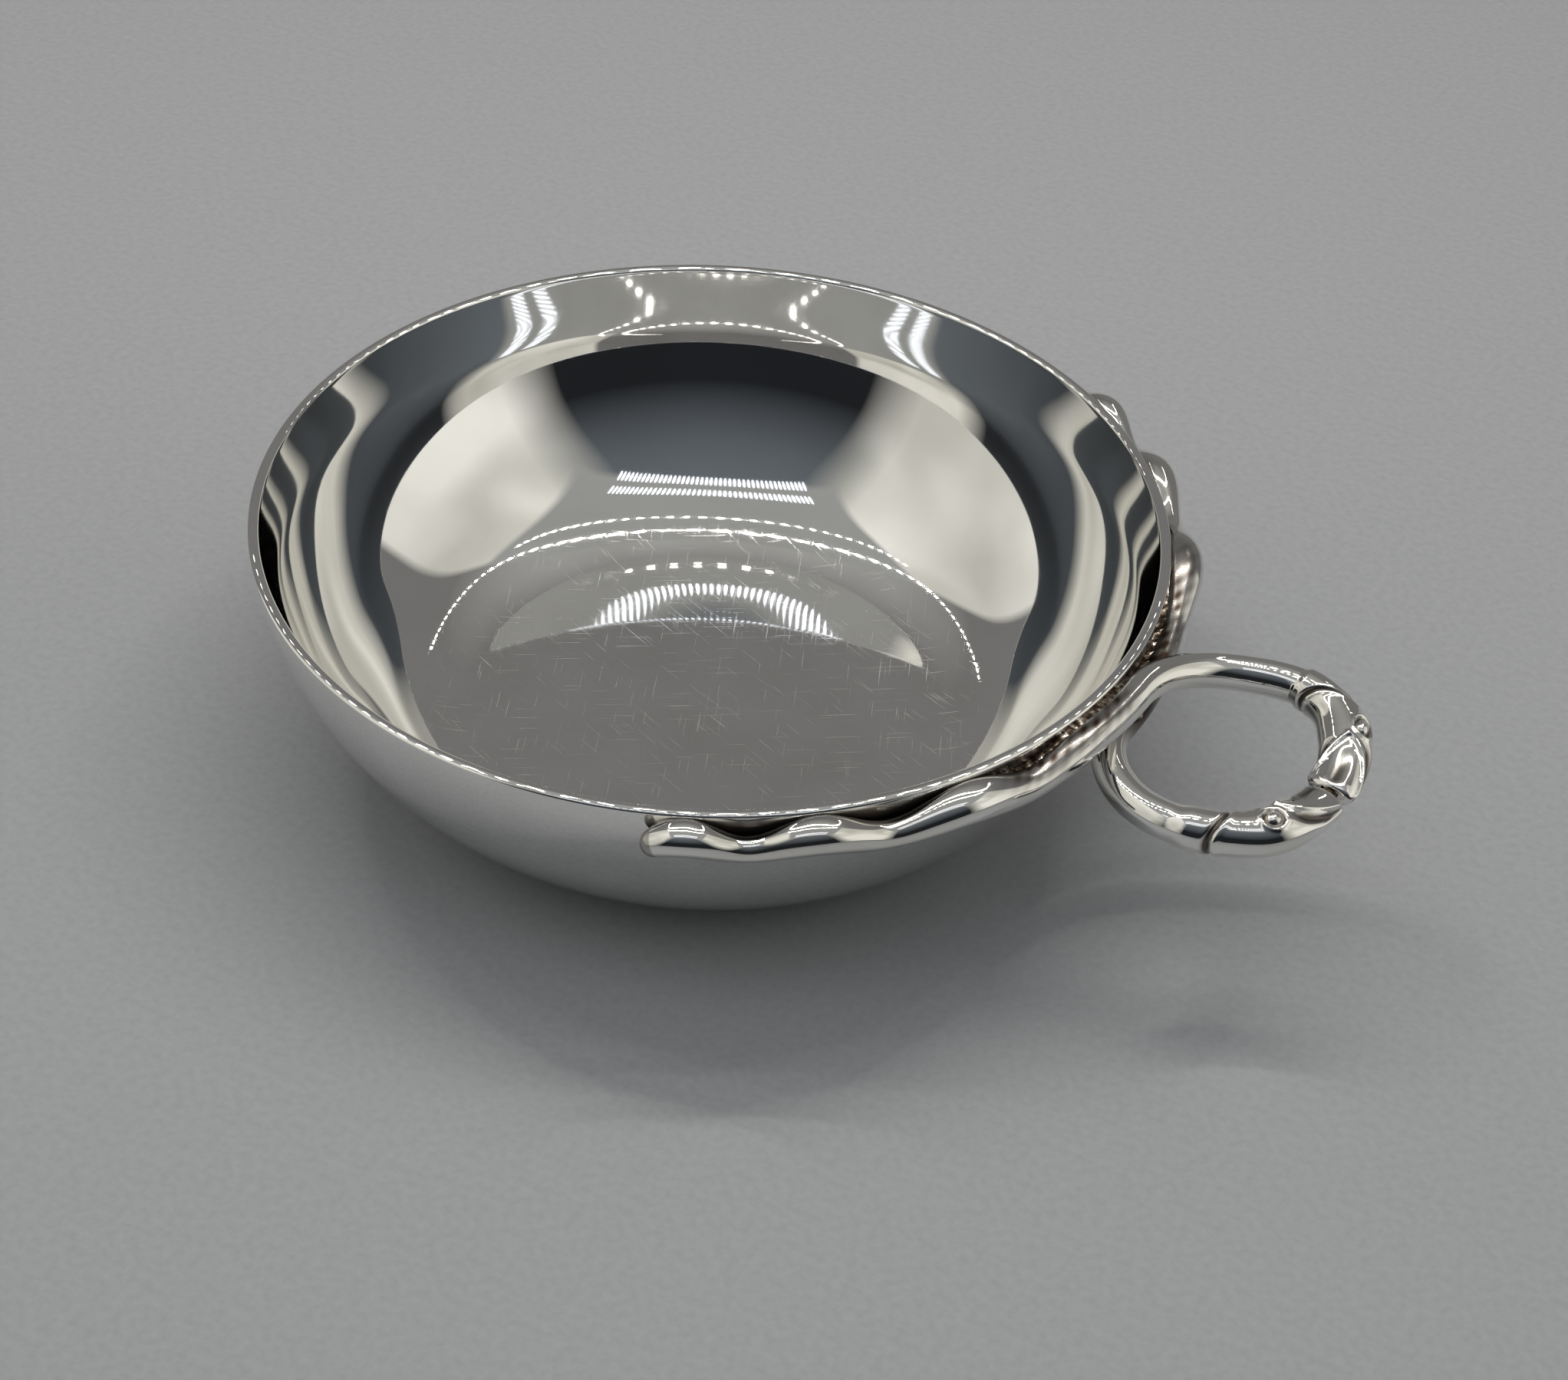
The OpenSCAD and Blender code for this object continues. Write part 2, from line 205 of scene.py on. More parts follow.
# %% [markdown]
# The tent's lamps hang under its ceiling. A strip of large diodes runs round three sides in a rounded U, with
# weaker ones on the arms of the U. A row of small diodes follows its front, and two rows of narrow bars lie near
# the opening. On a mirror they show as the arcs of bright beads in the bottom of the bowl, first straight from
# the bowl's turn and then a second time by way of the floor and the far wall. Flat discs in one mesh for each
# strip are simple, and the camera doesn't see them.

# %% Strips of diodes
LAMP_DROP, DIODE_CORNERS = 2.0, 8
U_SQUARE, U_STEPS = 3.4, 3000  # 2 would make the U's front an ellipse, and more makes it squarer


def mesh_piece(name, points, faces, material, smooth=True):
    """A mesh object from points in millimetres."""
    data = bpy.data.meshes.new(name)
    data.from_pydata((np.asarray(points, float) * MM).tolist(), [], faces)
    data.validate()
    if smooth:
        data.shade_smooth()
    data.materials.append(material)
    made = bpy.data.objects.new(name, data)
    bpy.context.scene.collection.objects.link(made)
    return made


def rounded_u(half, front, middle, reach, pitch):
    """Even steps along a rounded U that is open to the back: places across and along the view."""
    turn = -np.pi / 2 + np.linspace(-reach, reach, U_STEPS)
    swell = (np.abs(np.cos(turn)) ** U_SQUARE + np.abs(np.sin(turn)) ** U_SQUARE) ** (-1 / U_SQUARE)
    across, back = half * swell * np.cos(turn), middle + (middle - front) * swell * np.sin(turn)
    run = np.concatenate([[0], np.cumsum(np.hypot(np.diff(across), np.diff(back)))])
    even = np.linspace(0, run[-1], int(run[-1] // pitch) + 1)
    return np.stack([np.interp(even, run, across), np.interp(even, run, back)], 1)


def diode_strip(name, places, half_wide, half_deep, colour, strength):
    light, tree = new_material(name + "_light")
    glow = add(tree, "ShaderNodeEmission", {"Color": linear(colour), "Strength": strength})
    add(tree, "ShaderNodeOutputMaterial", {"Surface": glow.outputs["Emission"]})
    edge = -2 * np.pi * np.arange(DIODE_CORNERS) / DIODE_CORNERS
    flat = np.asarray(places)[:, None, :] + np.stack([half_wide * np.cos(edge), half_deep * np.sin(edge)], 1)
    points = (flat[..., :1] * np.array(level_right) + flat[..., 1:] * np.array(level_back)).reshape(-1, 3)
    points[:, 2] = TENT_TOP - LAMP_DROP
    discs = np.arange(len(points)).reshape(-1, DIODE_CORNERS).tolist()
    made = mesh_piece(name, points, discs, light, smooth=False)
    made.visible_camera = False
    print(name, "with", len(places), "diodes")


# %% [markdown]
# The places and sizes below were found by following the reflections in the bowl back to the ceiling. Places are
# measured from the middle of the bowl, across and along the view.

# %% Hang the lamps
ARMS_FROM = 170
BAR_ROWS, BAR_FROM, BAR_TO, BAR_PITCH = (-137.0, -183.0), -150, 171, 7.6

large = rounded_u(half=250, front=88, middle=330, reach=1.95, pitch=20)
small = rounded_u(half=262, front=5, middle=330, reach=0.85, pitch=16)
bars = [(across, along) for along in BAR_ROWS for across in np.arange(BAR_FROM, BAR_TO, BAR_PITCH)]
on_arms = large[:, 1] >= ARMS_FROM
diode_strip("large_diodes", large[~on_arms], half_wide=4.6, half_deep=4.6, colour="#FFFBF2", strength=140.0)
diode_strip("side_diodes", large[on_arms], half_wide=4.0, half_deep=4.0, colour="#FFFBF2", strength=35.0)
diode_strip("small_diodes", small, half_wide=2.8, half_deep=2.8, colour="#FFFDF8", strength=90.0)
diode_strip("front_bars", bars, half_wide=2.2, half_deep=15.0, colour="#F0F5FF", strength=2.6)

# %% [markdown]
# A soft fill at the tent's opening lights the table in front of the bowl. It is kept out of the reflections,
# because a mirror would show it as one more lamp.

# %% Front fill
FILL_WIDE, FILL_DEEP, FILL_FORWARD, FILL_WATTS = 420, 220, 210, 0.15

fill = bpy.data.lights.new("front_fill", "AREA")
fill.shape, fill.size, fill.size_y, fill.energy = "RECTANGLE", FILL_WIDE * MM, FILL_DEEP * MM, FILL_WATTS
front_fill = bpy.data.objects.new("front_fill", fill)
front_fill.location = (level_back * -FILL_FORWARD + Vector((0, 0, TENT_TOP))) * MM
front_fill.rotation_euler = (0, 0, VIEW_TURN)
front_fill.visible_glossy = front_fill.visible_camera = False
bpy.context.scene.collection.objects.link(front_fill)
print("front fill of", round(fill.energy, 3), "W")

# %% [markdown]
# The table is a sheet of matt grey card, pressed from fibres that give it a faint mottle, about 0.8 mm across. It
# is plain on purpose: it carries the bowl's shadow and gives the outside of the bowl something even to mirror.

# %% Card floor
FIBRE, FLOOR_R, FLOOR_CORNERS = 0.8, 2500.0, 64

card, tree = new_material("matt_card")
place = add(tree, "ShaderNodeTexCoord").outputs["Object"]
fibre = add(tree, "ShaderNodeTexNoise", {"Vector": place, "Scale": 1 / (FIBRE * MM), "Detail": 3.0})
tint = add(tree, "ShaderNodeValToRGB", {"Fac": fibre.outputs["Fac"]},
           ((0.3, linear("#A0A2A6")), (0.7, linear("#A8AAAE"))))
matt = add(tree, "ShaderNodeBsdfPrincipled",
           {"Base Color": tint.outputs["Color"], "Roughness": 0.9, "Specular IOR Level": 0.2})
add(tree, "ShaderNodeOutputMaterial", {"Surface": matt.outputs["BSDF"]})
corners = np.linspace(0, 2 * math.pi, FLOOR_CORNERS + 1)[:-1]
floor = mesh_piece("card_floor", [(FLOOR_R * math.cos(a), FLOOR_R * math.sin(a), 0) for a in corners],
                   [list(range(FLOOR_CORNERS))], card, smooth=False)
print("card floor", 2 * FLOOR_R / 1000, "m across")

# %% [markdown]
# ## Polished raised silver
# The bowl is sheet silver, raised with a hammer, planished smooth and polished to a mirror. Silver reflects
# about nine tenths of the light, slightly warm. Use leaves three traces: a faint ripple from planishing that
# makes reflections swim, hairline scratches from wiping and stacking, and cloudy patches where the polish has
# dulled. Hairlines are a few hundredths of a millimetre wide; here they are drawn 0.1 mm wide, so that they
# show at all. Each hairline layer is noise stretched along one direction, so the three layers cross.

# %% Hairlines
HAIRLINE_L, HAIRLINE_W, HAIRLINE_TURNS = 5.0, 0.1, (0.35, 1.15, 2.55)
HAIRLINE_FAINT, HAIRLINE_FULL = 0.73, 0.81


def crossing_hairlines(tree, spot):
    """A value that is one on the hairlines and nothing between them."""
    hairlines = None
    for turn in HAIRLINE_TURNS:
        turned = add(tree, "ShaderNodeMapping", {"Vector": spot, "Rotation": (0, 0, turn)})
        drawn = add(tree, "ShaderNodeMapping", {
            "Vector": turned.outputs["Vector"], "Scale": (1 / (HAIRLINE_L * MM), 1 / (HAIRLINE_W * MM), 1 / MM)})
        grain = add(tree, "ShaderNodeTexNoise", {"Vector": drawn.outputs["Vector"], "Scale": 1.0, "Detail": 0.0})
        layer = add(tree, "ShaderNodeMapRange", {
            "Value": grain.outputs["Fac"], "From Min": HAIRLINE_FAINT, "From Max": HAIRLINE_FULL})
        line = layer.outputs["Result"]
        hairlines = line if hairlines is None else add(
            tree, "ShaderNodeMath", {0: hairlines, 1: line}, operation="MAXIMUM").outputs["Value"]
    return hairlines


print(len(HAIRLINE_TURNS), "layers of hairlines,", HAIRLINE_L, "mm long")

# %% [markdown]
# The hairlines are strongest on the flat bottom, where things are put down, and hardly show on the walls. They
# are cut into the polish, so they are rougher and a little lower than the rest. Where a piece has a tarnish
# value, the silver turns brown and matt, and that is the last thing to go over the polish. That value holds
# real tarnish in some places and painted shade in others, as each piece below sets it.

# %% Finish of the bowl
WORN_BELOW, BRIGHT_ABOVE, BRIGHT_WEAR = 1.2, 2.5, 0.06
CLOUD_L, RIPPLE_L, RIPPLE_DEEP, HAIRLINE_DEEP = 9.0, 8.0, 0.004, 0.0012
HAIRLINE_ROUGH, CLOUD_ROUGH, TARNISH_AND_SHADE_ROUGH = 0.25, 0.02, 0.3
# Brown for tarnish; the same brown is also used as painted shade where the tarnish value sets it.
TARNISH_AND_SHADE_TONE = linear("#3E3028")


def silver_finish(name, bright, dull, base_rough, worn):
    """Mirror-polished silver. worn is the share of hairlines and clouding that shows on it."""
    made, tree = new_material(name)
    spot = add(tree, "ShaderNodeTexCoord").outputs["Object"]
    cloud = add(tree, "ShaderNodeTexNoise", {"Vector": spot, "Scale": 1 / (CLOUD_L * MM), "Detail": 4.0})
    height = add(tree, "ShaderNodeSeparateXYZ", {"Vector": spot}).outputs["Z"]
    wear = add(tree, "ShaderNodeMapRange", {
        "Value": height, "From Min": BRIGHT_ABOVE * MM, "From Max": WORN_BELOW * MM,
        "To Min": BRIGHT_WEAR, "To Max": 1.0})
    cuts = add(tree, "ShaderNodeMath", {0: crossing_hairlines(tree, spot), 1: wear.outputs["Result"]},
               operation="MULTIPLY").outputs["Value"]
    clouded = add(tree, "ShaderNodeMapRange", {
        "Value": cloud.outputs["Fac"], "From Min": 0.35, "From Max": 0.7,
        "To Min": base_rough, "To Max": base_rough + CLOUD_ROUGH * worn})
    rough = add(tree, "ShaderNodeMath", {0: cuts, 1: HAIRLINE_ROUGH * worn, 2: clouded.outputs["Result"]},
                operation="MULTIPLY_ADD")
    tone = add(tree, "ShaderNodeValToRGB", {"Fac": cloud.outputs["Fac"]},
               ((0.35, linear(bright)), (0.75, linear(dull))))
    ripple = add(tree, "ShaderNodeTexNoise", {"Vector": spot, "Scale": 1 / (RIPPLE_L * MM), "Detail": 1.0})
    swim = add(tree, "ShaderNodeBump", {
        "Height": ripple.outputs["Fac"], "Strength": 1.0, "Distance": RIPPLE_DEEP * MM})
    cut = add(tree, "ShaderNodeBump", {
        "Height": cuts, "Strength": 0.5 * worn, "Distance": HAIRLINE_DEEP * MM,
        "Normal": swim.outputs["Normal"]}, invert=True)
    # The stored tarnish value darkens and dulls the silver: real tarnish, and painted shade between parts.
    mark = add(tree, "ShaderNodeAttribute", attribute_name="tarnish_and_shade").outputs["Fac"]
    stained_and_shaded = add(tree, "ShaderNodeMix", {SHARE: mark, FIRST: tone.outputs["Color"], SECOND: TARNISH_AND_SHADE_TONE},
                  data_type="RGBA", blend_type="MULTIPLY")
    dulled = add(tree, "ShaderNodeMath", {0: mark, 1: TARNISH_AND_SHADE_ROUGH, 2: rough.outputs["Value"]},
                 operation="MULTIPLY_ADD")
    skin = add(tree, "ShaderNodeBsdfPrincipled", {
        "Base Color": stained_and_shaded.outputs[MIXED], "Metallic": 1.0, "Roughness": dulled.outputs["Value"],
        "Normal": cut.outputs["Normal"]})
    add(tree, "ShaderNodeOutputMaterial", {"Surface": skin.outputs["BSDF"]})
    return made


raised_silver = silver_finish("polished_raised_silver", "#F3F2F0", "#E9E8E5", base_rough=0.02, worn=1.0)
print("made", raised_silver.name)

# %% [markdown]
# ## Bowl
# On the bench the bowl is turned up from a disc over stakes. It could be modelled by hand and smoothed, but a
# profile spun about an axis gives the cleanest reflections. The outside follows the CAD: a flat resting face, a
# turn, and one long curve to the rim.

# %% Outside of the bowl
BOWL_R, BOWL_H, RIM_E = 40.98, 24.0, 0.3
BASE_R, TURN_R, TURN_DEGREES = 21.2, 13.5, 40
BASE_STEPS, TURN_STEPS, WALL_STEPS, AXIS_HOLE = 6, 40, 64, 0.02

turn_n = np.array([math.sin(math.radians(TURN_DEGREES)), -math.cos(math.radians(TURN_DEGREES))])
turn_end = np.array([BASE_R, TURN_R]) + TURN_R * turn_n
rim_corner = np.array([BOWL_R, BOWL_H - RIM_E])
wall_run = rim_corner - turn_end
WALL_R = (wall_run @ wall_run) / (-2 * (wall_run @ turn_n))
WALL_C = turn_end - WALL_R * turn_n


def arc(centre, radius, first, last, count):
    """Points on an arc, with angles in degrees from straight down towards the outside."""
    turn = np.radians(np.linspace(first, last, count))
    return np.stack([centre[0] + radius * np.sin(turn), centre[1] - radius * np.cos(turn)], 1)


wall_lean = math.degrees(math.atan2(rim_corner[0] - WALL_C[0], WALL_C[1] - rim_corner[1]))
outside = np.concatenate([
    np.stack([np.linspace(AXIS_HOLE, BASE_R, BASE_STEPS + 1)[:-1], np.zeros(BASE_STEPS)], 1),
    arc((BASE_R, TURN_R), TURN_R, 0, TURN_DEGREES, TURN_STEPS)[:-1],
    arc(WALL_C, WALL_R, TURN_DEGREES, wall_lean, WALL_STEPS)])
print("wall curve radius", round(WALL_R, 2), "mm, at", round(wall_lean, 1), "degrees from level at the rim")

# %% [markdown]
# A mirror shows the slope of the metal far better than its place, so the inside is drawn by its slope: almost
# flat at the bottom, a quick turn, then a wall that stands up towards the rim. Adding up the slope from the
# middle outwards gives the height, and the whole curve is then lifted so that it ends at the rim.

# %% Inside of the bowl
INSIDE_R = np.array([
    0, 10.85, 21.7, 23.2, 24.7, 26.7, 28.2, 29.6, 31, 33, 35, 37, 38.2, 38.6, 39, 39.45, 40.0])
INSIDE_SLOPE = np.array([
    0, 0.85, 1.7, 8.3, 15.1, 24.5, 32, 38.8, 43.2, 47.8, 54.4, 62.8, 68.8, 72, 77.6, 79.6, 80.4])
SLOPE_STEPS, INSIDE_STEPS = 8001, 190


def smooth_through(x, knots, values):
    """A curve through the knots that doesn't overshoot, as a flexible batten would lie."""
    run = np.diff(values) / np.diff(knots)
    slope = np.zeros(len(knots))
    both = run[:-1] * run[1:] > 0
    slope[1:-1][both] = 2 * run[:-1][both] * run[1:][both] / (run[:-1] + run[1:])[both]
    slope[0], slope[-1] = run[0], run[-1]
    i = np.clip(np.searchsorted(knots, x) - 1, 0, len(run) - 1)
    w = knots[i + 1] - knots[i]
    t = (x - knots[i]) / w
    return ((1 + 2 * t) * (1 - t) ** 2 * values[i] + t * (1 - t) ** 2 * w * slope[i]
            + t * t * (3 - 2 * t) * values[i + 1] + t * t * (t - 1) * w * slope[i + 1])


fine_r = np.linspace(0, INSIDE_R[-1], SLOPE_STEPS)
step_r = fine_r[1] - fine_r[0]
grade = np.tan(np.radians(smooth_through(fine_r, INSIDE_R, INSIDE_SLOPE)))
fine_z = np.concatenate([[0], np.cumsum((grade[1:] + grade[:-1]) / 2 * step_r)])
fine_z += BOWL_H - RIM_E - fine_z[-1]
length = np.concatenate([[0], np.cumsum(np.hypot(step_r, np.diff(fine_z)))])
even = np.linspace(length[-1], 0, INSIDE_STEPS)
inner = np.stack([np.interp(even, length, fine_r), np.interp(even, length, fine_z)], 1)
inner[-1, 0] = AXIS_HOLE
print("inside floor at", round(fine_z[0], 2), "mm")

# %% [markdown]
# The rim is a plain band with a soft edge, half an ellipse in section. The profile is then spun about the axis,
# as a lathe would. A mirror shows every flat facet, so the bowl has many steps round, and the two small holes at
# the axis are closed with a face each. `skin_faces` joins rings of points, and it serves every piece below.

# %% Spin the bowl
ROUND, RIM_STEPS, RIM_FROM, RIM_TO = 300, 24, 6, 174


def skin_faces(rings, sides, turned=False):
    """Faces between rings of points that follow each other, and one face over each end."""
    faces = []
    for i in range(rings - 1):
        for j in range(sides):
            k = (j + 1) % sides
            a, b, c, d = i * sides + j, i * sides + k, (i + 1) * sides + k, (i + 1) * sides + j
            faces.append([a, d, c, b] if turned else [a, b, c, d])
    first, last = list(range(sides)), list(range((rings - 1) * sides, rings * sides))
    return faces + ([first, last[::-1]] if turned else [first[::-1], last])


over = np.radians(np.linspace(RIM_FROM, RIM_TO, RIM_STEPS))
rim_mid, rim_half = (BOWL_R + INSIDE_R[-1]) / 2, (BOWL_R - INSIDE_R[-1]) / 2
rim = np.stack([rim_mid + rim_half * np.cos(over), BOWL_H - RIM_E + RIM_E * np.sin(over)], 1)
profile = np.concatenate([outside, rim, inner])
turns = 2 * math.pi * np.arange(ROUND) / ROUND
bowl_points = np.concatenate([
    np.stack([r * np.cos(turns), r * np.sin(turns), np.full(ROUND, z)], 1) for r, z in profile])
bowl = mesh_piece("raised_bowl", bowl_points, skin_faces(len(profile), ROUND), raised_silver)
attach(bowl, "root")
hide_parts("bowl")
print("bowl of", len(bowl_points), "points")

# %% [markdown]
# ## Serpents
# Each serpent is one casting. It could be sculpted, but a serpent is a round bar that follows a path, so a sweep
# is closer to how its wax was rolled: rings of points are set square to the path, and each ring grows from the
# blunt tail to the thick neck and the flat head. The path has three stretches. The tail lies against the wall
# and waves under the rim, the body swings out through a quarter bend, and the neck follows an ellipse round to
# the snout. The sizes repeat those of the CAD, so the castings lie where the solids do; only the tail's tip and
# the crests of its waves are a little fuller here.

# %% Serpent sizes
TIP_D, ROOT_D, NECK_D, SIDE_GROW = 2.1, 2.9, 3.8, 0.45
CREST_SWELL, CREST_FILL = 0.28, 0.4
WAVE_DEPTH, WAVE_TIP, WAVE_GROW, WAVE_START = 1.5, 12.5, 2.6, 0.25
CREST_DROP, SOLDER_GAP = 0.3, 0.1
ROOT_FROM, ROOT_RUN, CREST_FROM, CREST_RUN = 24, 18, 8, 14
RING_L, RING_W, RING_SKEW, RING_OFF, RING_DROP = 18.8, 19.8, 1.5, 0.4, 4.9
UPPER_RISE, LOWER_SAG, CROSS_HALF, CROSS_OFF = 1.4, 0.6, 1.0, 2.5
JAW_GAP, MEET_OFF = 0.6, 1.0
HEAD_L, HEAD_W, HEAD_H, SNOUT_W, SNOUT_H, SNOUT_IN = 11.0, 4.6, 3.9, 4.2, 2.5, 0.8
COLLAR_W, COLLAR_DEEP, COLLAR_SLANT, UPPER_SLANT = 0.7, 0.3, 1.1, 1.9

over_z = BOWL_H - CREST_DROP - ROOT_D / 2
under_z = over_z - ROOT_D - SOLDER_GAP
ring_z = BOWL_H - RING_DROP
UPPER = dict(reach=65.5, cross=CROSS_OFF, cross_z=over_z, snout=-MEET_OFF, skew=RING_SKEW,
             half=RING_W / 2 - RING_OFF, side_z=ring_z + UPPER_RISE, hand=1)
LOWER = dict(reach=61.0, cross=-CROSS_OFF, cross_z=under_z, snout=MEET_OFF, skew=-RING_SKEW,
             half=RING_W / 2 + RING_OFF, side_z=ring_z - LOWER_SAG, hand=-1)
print("bodies cross at z =", round(over_z, 2), "and", round(under_z, 2), "mm, heads at", round(ring_z, 2), "mm")

# %% [markdown]
# The tail is placed by its angle round the bowl, from the handle's side towards its tip. Its waves grow longer
# from the tip to the root. At each angle the bar touches the wall, so its distance from the axis follows from its
# height and its thickness.

# %% Line of the tail
def wall_r(z):
    """Radius of the bowl's outside at a height."""
    return WALL_C[0] + np.sqrt(np.maximum(WALL_R ** 2 - (z - WALL_C[1]) ** 2, 0))


def bar_r(half, z):
    """Radius at which a round bar of that half thickness lies against the wall at a height."""
    return WALL_C[0] + np.sqrt((WALL_R + SOLDER_GAP + half) ** 2 - (z - WALL_C[1]) ** 2)


def tail_half(angle, serpent):
    return mix(ROOT_D, TIP_D, ease(np.maximum(angle, 0) / serpent["reach"])) / 2


def waves(run):
    """How many waves lie between the tip and a place that many degrees from it."""
    rate = WAVE_GROW / WAVE_TIP
    return np.log(1 + rate * run / WAVE_TIP) / rate - WAVE_START


def tail_z(angle, serpent):
    dip = WAVE_DEPTH / 2 * (1 - np.cos(2 * math.pi * waves(serpent["reach"] - angle)))
    free = BOWL_H - CREST_DROP - tail_half(angle, serpent) - dip
    return mix(free, serpent["cross_z"], ease((ROOT_FROM - angle) / (ROOT_RUN - serpent["cross"])))


def crest(angle, serpent):
    """One on the crests of the tail's waves, nothing in the valleys and at the root."""
    wave = 0.5 + 0.5 * np.cos(2 * math.pi * waves(serpent["reach"] - angle))
    return wave * ease((angle - CREST_FROM) / CREST_RUN)


def tail_bar(angle, serpent):
    """Middle line and half thickness of the tail, which is thicker on the crests of its waves."""
    swell = CREST_SWELL * crest(angle, serpent)
    half, z = tail_half(angle, serpent) + swell, tail_z(angle, serpent) - swell
    r, a = bar_r(half, z), np.radians(angle)
    return np.stack([r * np.cos(a), -r * np.sin(a), z], -1), half


ring_mid = bar_r(ROOT_D / 2, (over_z + under_z) / 2) + RING_L / 2
print("ring centre at x =", round(float(ring_mid), 2), "mm")

# %% [markdown]
# From the root the body bends out to the side of the ring. A Bezier curve with handles of 0.5523 is very nearly a
# quarter of an ellipse. Then the neck, the collar and the head follow the ring. Along them, `run` counts the
# millimetres from the collar towards the snout, which is what places the head's details. Seen from above, the
# head is widest at the eyes and ends in a blunt, rounded snout.

# %% Bend, neck and head
BEND_STEPS, NECK_STEPS, COLLAR_STEPS, HEAD_STEPS = 60, 40, 35, 149
QUARTER, EARLY = 0.5523, 1.2
EYE_AT, END_ROUND, END_FLAT = 4.2, 0.9, 0.62
COLLAR_FROM = COLLAR_SLANT + 2 * COLLAR_W


def bend_out(serpent, start, leave):
    """Points and half thickness of the body from the root to the side of the ring."""
    end = np.array([ring_mid + serpent["skew"], serpent["half"]])
    outward = np.array([math.sin(math.radians(leave)), math.cos(math.radians(leave))])
    first = start + QUARTER * (end[1] - start[1]) * outward
    second = end - np.array([QUARTER * (end[0] - start[0]), 0])
    t = np.linspace(0, 1, BEND_STEPS + 1)[1:, None]
    flat = (1 - t) ** 3 * start + 3 * t * (1 - t) ** 2 * first + 3 * t * t * (1 - t) * second + t ** 3 * end
    height = mix(serpent["cross_z"], serpent["side_z"], ease(EARLY * t))
    return np.concatenate([flat, height], 1), mix(ROOT_D, NECK_D, SIDE_GROW * t[:, 0]) / 2


def head_half(run, back, eyes, front):
    """Half the head's width or height from the collar to the snout."""
    body = np.where(run < EYE_AT, mix(back, eyes, ease(run / EYE_AT)),
                    mix(eyes, front, ease((run - EYE_AT) / (HEAD_L - EYE_AT))))
    end = np.clip((HEAD_L - run) / END_ROUND, 0, 1)
    return body / 2 * (END_FLAT + (1 - END_FLAT) * np.sqrt(1 - np.square(1 - end)))


def round_the_ring(serpent):
    """Points, half width, half height and run of the neck, the collar and the head."""
    half, skew = serpent["half"], serpent["skew"]
    degree = 360 / math.pi / (RING_L / 2 - skew + half)
    collar_at = math.degrees(math.asin((serpent["snout"] + JAW_GAP / 2) / half)) + HEAD_L * degree
    neck_run = np.linspace((collar_at - 90) / degree, -COLLAR_FROM, NECK_STEPS + 1)[1:]
    head_run = np.linspace(0, HEAD_L, HEAD_STEPS + 1)[1:]
    run = np.concatenate([neck_run, np.linspace(-COLLAR_FROM, 0, COLLAR_STEPS + 1)[1:], head_run])
    turn = np.radians(collar_at - run * degree)
    x = ring_mid + skew + (RING_L / 2 - skew) * np.cos(turn) - SNOUT_IN * ease(run / HEAD_L)
    z = mix(serpent["side_z"], ring_z, ease(1 - turn / (math.pi / 2)))
    grown = ease((neck_run - neck_run[0]) / (neck_run[-1] - neck_run[0]))
    neck = mix(ROOT_D, NECK_D, SIDE_GROW + (1 - SIDE_GROW) * grown) / 2
    collar = np.full(COLLAR_STEPS, NECK_D / 2)
    wide = np.concatenate([neck, collar, head_half(head_run, NECK_D, HEAD_W, SNOUT_W)])
    tall = np.concatenate([neck, collar, head_half(head_run, NECK_D, HEAD_H, SNOUT_H)])
    return np.stack([x, half * np.sin(turn), z], 1), wide, tall, run


print("head", HEAD_L, "mm long, with", round(COLLAR_FROM, 1), "mm of collar behind it")

# %% [markdown]
# `serpent_path` strings the stretches together, from the rounded tip of the tail to the snout. Each row holds a
# point, the half width and half height of the body there, the run along the head, the angle round the bowl along
# the tail, and how far the row is on the crest of a wave.

# %% Serpent path
TAIL_STEPS, TIP_RINGS, TIP_FROM, TIP_TO = 260, 9, 6, 82
OFF_HEAD, OFF_TAIL = -100.0, -99.0


def serpent_path(serpent):
    leave = serpent["cross"] - CROSS_HALF
    angle = np.linspace(serpent["reach"], leave, TAIL_STEPS)
    tail, tail_w = tail_bar(angle, serpent)
    bend, bend_w = bend_out(serpent, tail[-1, :2], leave)
    ring, ring_w, ring_h, run = round_the_ring(serpent)
    tip = np.radians(np.linspace(TIP_FROM, TIP_TO, TIP_RINGS))
    tip_w = tail_w[0] * np.sin(tip)
    tip_points = tail[0] + unit(tail[0] - tail[1]) * tail_w[0] * np.cos(tip)[:, None]
    before, after = TIP_RINGS + len(tail) + len(bend), len(bend) + len(ring)
    return dict(points=np.concatenate([tip_points, tail, bend, ring]),
                wide=np.concatenate([tip_w, tail_w, bend_w, ring_w]),
                tall=np.concatenate([tip_w, tail_w, bend_w, ring_h]),
                run=np.concatenate([np.full(before, OFF_HEAD), run]),
                angle=np.concatenate([np.full(TIP_RINGS, serpent["reach"]), angle, np.full(after, OFF_TAIL)]),
                crest=np.concatenate([np.zeros(TIP_RINGS), crest(angle, serpent), np.zeros(after)]))


upper_path, lower_path = serpent_path(UPPER), serpent_path(LOWER)
print("upper serpent:", len(upper_path["run"]), "rings; lower serpent:", len(lower_path["run"]), "rings")

# %% [markdown]
# The head's details are chased into the casting: a slanting collar, ringed eyes with a bead in the middle, and a
# V of two ridges that runs from the brow to the corners of the mouth with hollow cheeks outside it. Each is a
# smooth hump or groove added to the ring's radius. `run` is how far along the head we are, and `turn` is the
# angle round it, with 90 degrees on top. The lower head is rolled a little about its own length.

# %% Details of the head
EYE_UP, BROW_AT, BROW_LOW, HEAD_ROLL = 52.0, 5.4, 14.0, 27.0
